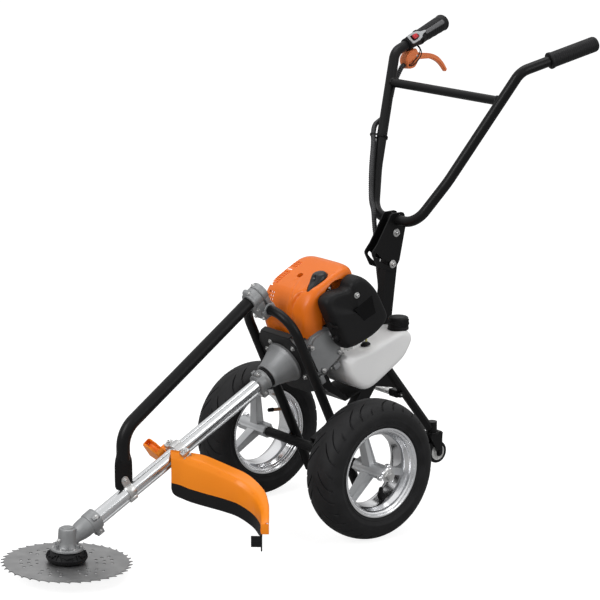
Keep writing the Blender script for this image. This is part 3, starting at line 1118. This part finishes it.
caster_frame = empty("caster_axis", fork_frame, (0, TRAIL, -drop))
turned("caster_wheel", [(0.0035 + RUN, CASTER_W / 2 + 0.0012), (0.0075, CASTER_W / 2 + 0.0012), (0.0080, CASTER_W / 2 - 0.0020),
                        (CASTER_R - 0.0070, CASTER_W / 2),
                        (CASTER_R - 0.0020, CASTER_W / 2), (CASTER_R, CASTER_W / 2 - 0.0025), (CASTER_R, -CASTER_W / 2 + 0.0025),
                        (CASTER_R - 0.0020, -CASTER_W / 2), (CASTER_R - 0.0070, -CASTER_W / 2),
                        (0.0080, -CASTER_W / 2 + 0.0020),
                        (0.0075, -CASTER_W / 2 - 0.0012), (0.0035 + RUN, -CASTER_W / 2 - 0.0012)],
       RUBBER, caster_frame, rotation=ALONG_X, steps=18, closed=True)

# Throttle loom: ribbed conduit from the trigger body down the right arm, past the bracket, to the carburettor


def on_line(x, s, n):
    return line_matrix @ Vector((x, s, n))


def through(points, count):
    """Smooth line through points, resampled into equal steps."""
    dense = []
    n = len(points)
    for i in range(n - 1):
        p0, p1, p2, p3 = points[max(i - 1, 0)], points[i], points[i + 1], points[min(i + 2, n - 1)]
        for k in range(24):
            t = k / 24
            dense.append(0.5 * ((2 * p1) + (p2 - p0) * t + (2 * p0 - 5 * p1 + 4 * p2 - p3) * t * t
                                + (3 * p1 - p0 - 3 * p2 + p3) * t ** 3))
    dense.append(points[-1])
    lengths = [0.0]
    for a, b in zip(dense, dense[1:]):
        lengths.append(lengths[-1] + (b - a).length)
    result, j = [], 0
    for k in range(count):
        goal = lengths[-1] * k / (count - 1)
        while j < len(dense) - 2 and lengths[j + 1] < goal:
            j += 1
        share = (goal - lengths[j]) / (lengths[j + 1] - lengths[j])
        result.append(dense[j].lerp(dense[j + 1], share))
    return result, lengths[-1]


loom_start = bar_matrix @ (Matrix.Translation(Vector((-BEND_HALF, 0.0, BEND_UP))) @ right_frame.rotation_euler.to_matrix().to_4x4()
                           @ Vector((0.0, BODY_LOW + 0.0130, BODY_FROM - 0.0006)))
loom_next = loom_start + bar_matrix.to_3x3() @ (right_frame.rotation_euler.to_matrix() @ Vector((0.0, -0.0024, -0.0110)))


def round_arm(height, turn):
    """A point beside the right arm: height above its lower bend, turn about it from outside to the front."""
    reach = BAR_R + LOOM_R + 0.0030
    low_bend, high_bend = Vector((-KNEE_HALF, 0.0, KNEE_UP)), Vector((-BEND_HALF, 0.0, BEND_UP))
    up_arm = (high_bend - low_bend).normalized()
    outward = Vector((-up_arm.z, 0.0, up_arm.x))
    return bar_matrix @ (low_bend + up_arm * height + outward * reach * math.cos(turn)
                         + Vector((0.0, -reach * math.sin(turn), 0.0)))


loom_points = [
    loom_start, loom_next, Vector((-0.1945, 0.3800, 0.8430)), Vector((-0.1850, 0.3620, 0.8150)),
    round_arm(0.1255, math.radians(-35)), round_arm(0.0995, math.radians(20)), round_arm(0.0735, math.radians(60)),
    round_arm(0.0455, math.radians(84)), Vector((-0.0985, 0.2375, 0.6857)), Vector((-0.0725, 0.2158, 0.6330)),
    Vector((-0.0470, 0.2005, 0.6120)), Vector((-0.0360, 0.1945, 0.5820)), Vector((-0.0300, 0.1939, 0.5517)),
    Vector((-0.0300, 0.1998, 0.4970)), Vector((-0.0300, 0.2060, 0.4424)), on_line(-0.0240, 0.3000, -0.0480),
    on_line(-0.0100, 0.2720, -0.0440), on_line(0.0100, 0.2550, -0.0300), on_line(0.0260, 0.2350, 0.0),
    on_line(0.0350, 0.2140, 0.0350), on_line(0.0370, 0.1980, 0.0440), on_line(0.0370, 0.1880, 0.0440),
    on_line(0.0370, CARB_BACK + 0.0007, 0.0440)]
loom_line, loom_length = through(loom_points, 2 * RIBS)
loom = curve_object("throttle_loom", [loom_line], SHELL_BLACK, root)
loom.data.bevel_depth = LOOM_R
loom.data.bevel_resolution = 2
loom.data.use_fill_caps = True
for i, point in enumerate(loom.data.splines[0].points):
    point.radius = 0.84 if i % 2 else 1.0
loom = to_mesh(loom)
bore_line, bore_length = through(loom_points, 32)
bore_line[0] = bore_line[0] + (bore_line[0] - bore_line[1]).normalized() * 0.004
bore_line[-1] = bore_line[-1] + (bore_line[-1] - bore_line[-2]).normalized() * 0.004
cut(loom, to_mesh(tube("loom_bore", bore_line, LOOM_BORE, SHELL_BLACK, root, fine=2)))

# Origin: middle of the footprint box, on the floor

bpy.context.view_layer.update()
graph = bpy.context.evaluated_depsgraph_get()
low, high = Vector((1e9, 1e9, 1e9)), Vector((-1e9, -1e9, -1e9))
for obj in parts.objects:
    if obj.type == "EMPTY":
        continue
    shape = obj.evaluated_get(graph)
    data = shape.to_mesh()
    for vertex in data.vertices:
        point = obj.matrix_world @ vertex.co
        low = Vector(min(a, b) for a, b in zip(low, point))
        high = Vector(max(a, b) for a, b in zip(high, point))
    shape.to_mesh_clear()
root.location = (-(low.x + high.x) / 2, -(low.y + high.y) / 2, -low.z)
bpy.context.view_layer.update()
